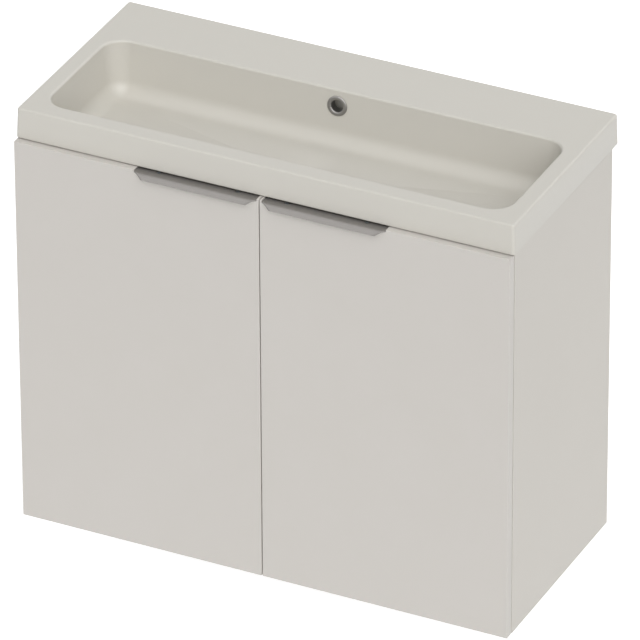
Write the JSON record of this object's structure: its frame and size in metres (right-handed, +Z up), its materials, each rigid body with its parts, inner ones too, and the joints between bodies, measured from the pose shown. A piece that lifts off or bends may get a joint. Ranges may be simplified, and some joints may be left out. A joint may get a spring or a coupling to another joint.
{
  "type": "vanity unit",
  "caption": "Wall-hung bathroom vanity cabinet with hinged doors, edge-pull handles, an inner shelf and a wide rectangular ceramic basin with an overflow.",
  "frame": {"origin": "centre of the four wall-fixing holes, on the wall plane; the unit hangs from them", "axes": "+X to the right seen from the front, +Y back into the wall, +Z up; the doors face -Y"},
  "size_m": [0.803, 0.383, 0.693],
  "materials": {
    "cabinet_board": "satin lacquer",
    "door_board": "satin lacquer",
    "ceramic": "satin glaze",
    "handle_metal": "fine brushed",
    "chrome": "polished",
    "hinge_steel": "nickel plated",
    "zinc_steel": "zinc plated",
    "white_plastic": "matt",
    "clear_rubber": "soft"
  },
  "bodies": {
    "cabinet": {"side_panel_left": "cabinet_board", "side_panel_right": "cabinet_board", "bottom_panel": "cabinet_board", "front_rail": "cabinet_board", "back_rail_upper": "cabinet_board", "back_rail_lower": "cabinet_board", "shelf": "cabinet_board", "shelf_pins": "zinc_steel", "cam_discs": "zinc_steel", "cam_bolts": "zinc_steel", "bottom_caps": "white_plastic", "hanger_housing_left": "white_plastic", "hanger_housing_right": "white_plastic", "hanger_hook_left": "zinc_steel", "hanger_hook_right": "zinc_steel", "hanger_screws": "zinc_steel", "hanger_cap_left": "white_plastic", "hanger_cap_right": "white_plastic", "wall_plate_left": "zinc_steel", "wall_plate_right": "zinc_steel", "wall_spacer_left": "white_plastic", "wall_spacer_right": "white_plastic", "basin": "ceramic", "overflow_ring": "chrome", "hinge_arms_left": "hinge_steel", "hinge_plates_left": "hinge_steel", "hinge_arm_screws_left": "zinc_steel", "hinge_plate_screws_left": "zinc_steel", "hinge_arms_right": "hinge_steel", "hinge_plates_right": "hinge_steel", "hinge_arm_screws_right": "zinc_steel", "hinge_plate_screws_right": "zinc_steel"},
    "door_left": {"door_left": "door_board", "handle_left": "handle_metal", "handle_screws_left": "zinc_steel", "door_buffers_left": "clear_rubber", "hinge_cups_left": "hinge_steel", "hinge_cup_screws_left": "zinc_steel"},
    "door_right": {"door_right": "door_board", "handle_right": "handle_metal", "handle_screws_right": "zinc_steel", "door_buffers_right": "clear_rubber", "hinge_cups_right": "hinge_steel", "hinge_cup_screws_right": "zinc_steel"},
    "links_left": {"hinge_links_left": "hinge_steel", "hinge_arm_pins_left": "zinc_steel", "hinge_cup_pins_left": "zinc_steel"},
    "links_right": {"hinge_links_right": "hinge_steel", "hinge_arm_pins_right": "zinc_steel", "hinge_cup_pins_right": "zinc_steel"}
  },
  "joints": [
    {"name": "door_left_swing", "type": "hinge", "parent": "cabinet", "child": "links_left", "pos_m": [-0.38952, -0.36778, 0], "axis": [0, 0, -1], "range_deg": [0, 119.39]},
    {"name": "door_left_turn_on_links", "type": "hinge", "parent": "links_left", "child": "door_left", "pos_m": [-0.3629, -0.3604, 0], "axis": [0, 0, -1], "range_deg": [-29.4, 0]},
    {"name": "door_right_swing", "type": "hinge", "parent": "cabinet", "child": "links_right", "pos_m": [0.38952, -0.36778, 0], "axis": [0, 0, 1], "range_deg": [0, 119.39]},
    {"name": "door_right_turn_on_links", "type": "hinge", "parent": "links_right", "child": "door_right", "pos_m": [0.3629, -0.3604, 0], "axis": [0, 0, 1], "range_deg": [-29.4, 0]}
  ],
  "couplings": [
    {"joint": "door_left_turn_on_links", "follows": "door_left_swing", "ratio": -0.24617},
    {"joint": "door_right_turn_on_links", "follows": "door_right_swing", "ratio": -0.24617}
  ]
}
